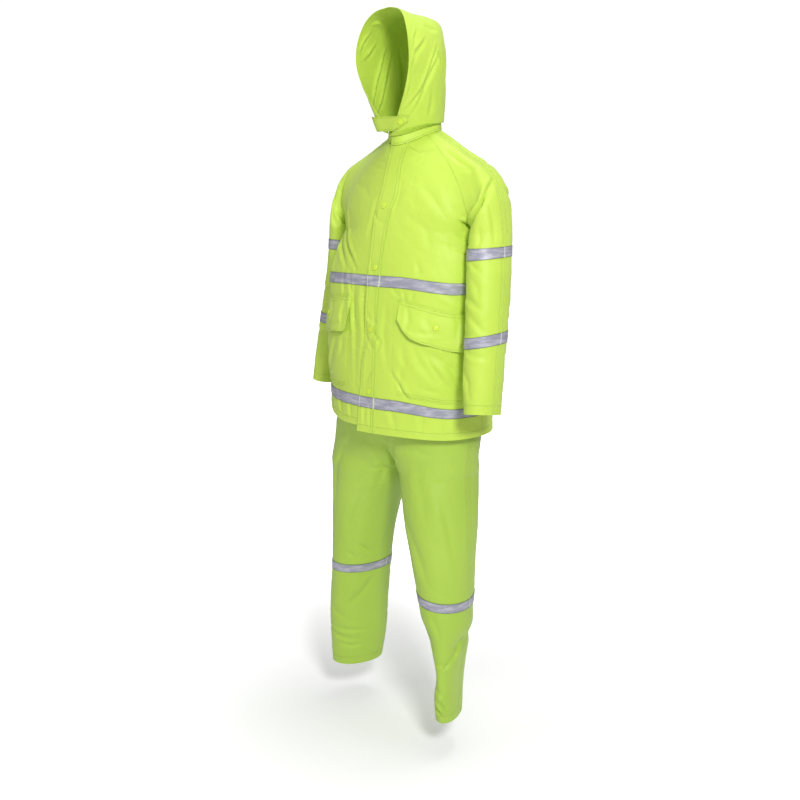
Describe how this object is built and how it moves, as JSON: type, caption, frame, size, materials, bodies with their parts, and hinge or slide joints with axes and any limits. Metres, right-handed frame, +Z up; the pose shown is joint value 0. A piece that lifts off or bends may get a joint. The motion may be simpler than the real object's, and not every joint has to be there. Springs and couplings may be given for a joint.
{
  "type": "rain suit",
  "caption": "Worn rain suit: hooded jacket with a storm flap, patch pockets and raglan sleeves over long trousers, with plain grey reflective bands. Hollow and open at face, cuffs and hems.",
  "frame": {"origin": "middle of the neck opening, level with the seam between collar and jacket", "axes": "+Z up, +X to the wearer's left, the wearer faces -Y"},
  "size_m": [0.682, 0.3599, 1.7848],
  "materials": {
    "jacket_cloth": "coated cloth with a soft sheen, bright lime",
    "trouser_cloth": "coated cloth with a soft sheen, lime a little greener than the jacket",
    "reflective_tape": "satin silver grey",
    "snap_plastic": "smooth, coloured as the cloth"
  },
  "bodies": {
    "root": {"back": "jacket_cloth", "collar": "jacket_cloth", "front_left": "jacket_cloth", "front_right": "jacket_cloth", "hood_left": "jacket_cloth", "hood_right": "jacket_cloth", "pocket_flap_left": "jacket_cloth", "pocket_flap_right": "jacket_cloth", "pocket_left": "jacket_cloth", "pocket_right": "jacket_cloth", "sleeve_back_left": "jacket_cloth", "sleeve_back_right": "jacket_cloth", "sleeve_front_left": "jacket_cloth", "sleeve_front_right": "jacket_cloth", "snap_pocket_left": "snap_plastic", "snap_pocket_right": "snap_plastic", "snap_storm_flap_1": "snap_plastic", "snap_storm_flap_2": "snap_plastic", "snap_storm_flap_3": "snap_plastic", "snap_storm_flap_4": "snap_plastic", "snap_throat_strap": "snap_plastic", "storm_flap": "jacket_cloth", "tape_chest_back": "reflective_tape", "tape_chest_flap": "reflective_tape", "tape_chest_left": "reflective_tape", "tape_chest_right": "reflective_tape", "tape_hem_back": "reflective_tape", "tape_hem_flap": "reflective_tape", "tape_hem_left": "reflective_tape", "tape_hem_right": "reflective_tape", "tape_leg_back_left": "reflective_tape", "tape_leg_back_right": "reflective_tape", "tape_leg_front_left": "reflective_tape", "tape_leg_front_right": "reflective_tape", "tape_sleeve_lower_back_left": "reflective_tape", "tape_sleeve_lower_back_right": "reflective_tape", "tape_sleeve_lower_front_left": "reflective_tape", "tape_sleeve_lower_front_right": "reflective_tape", "tape_sleeve_upper_back_left": "reflective_tape", "tape_sleeve_upper_back_right": "reflective_tape", "tape_sleeve_upper_front_left": "reflective_tape", "tape_sleeve_upper_front_right": "reflective_tape", "throat_strap": "jacket_cloth", "trouser_back_left": "trouser_cloth", "trouser_back_right": "trouser_cloth", "trouser_front_left": "trouser_cloth", "trouser_front_right": "trouser_cloth", "waistband": "trouser_cloth"}
  },
  "joints": []
}
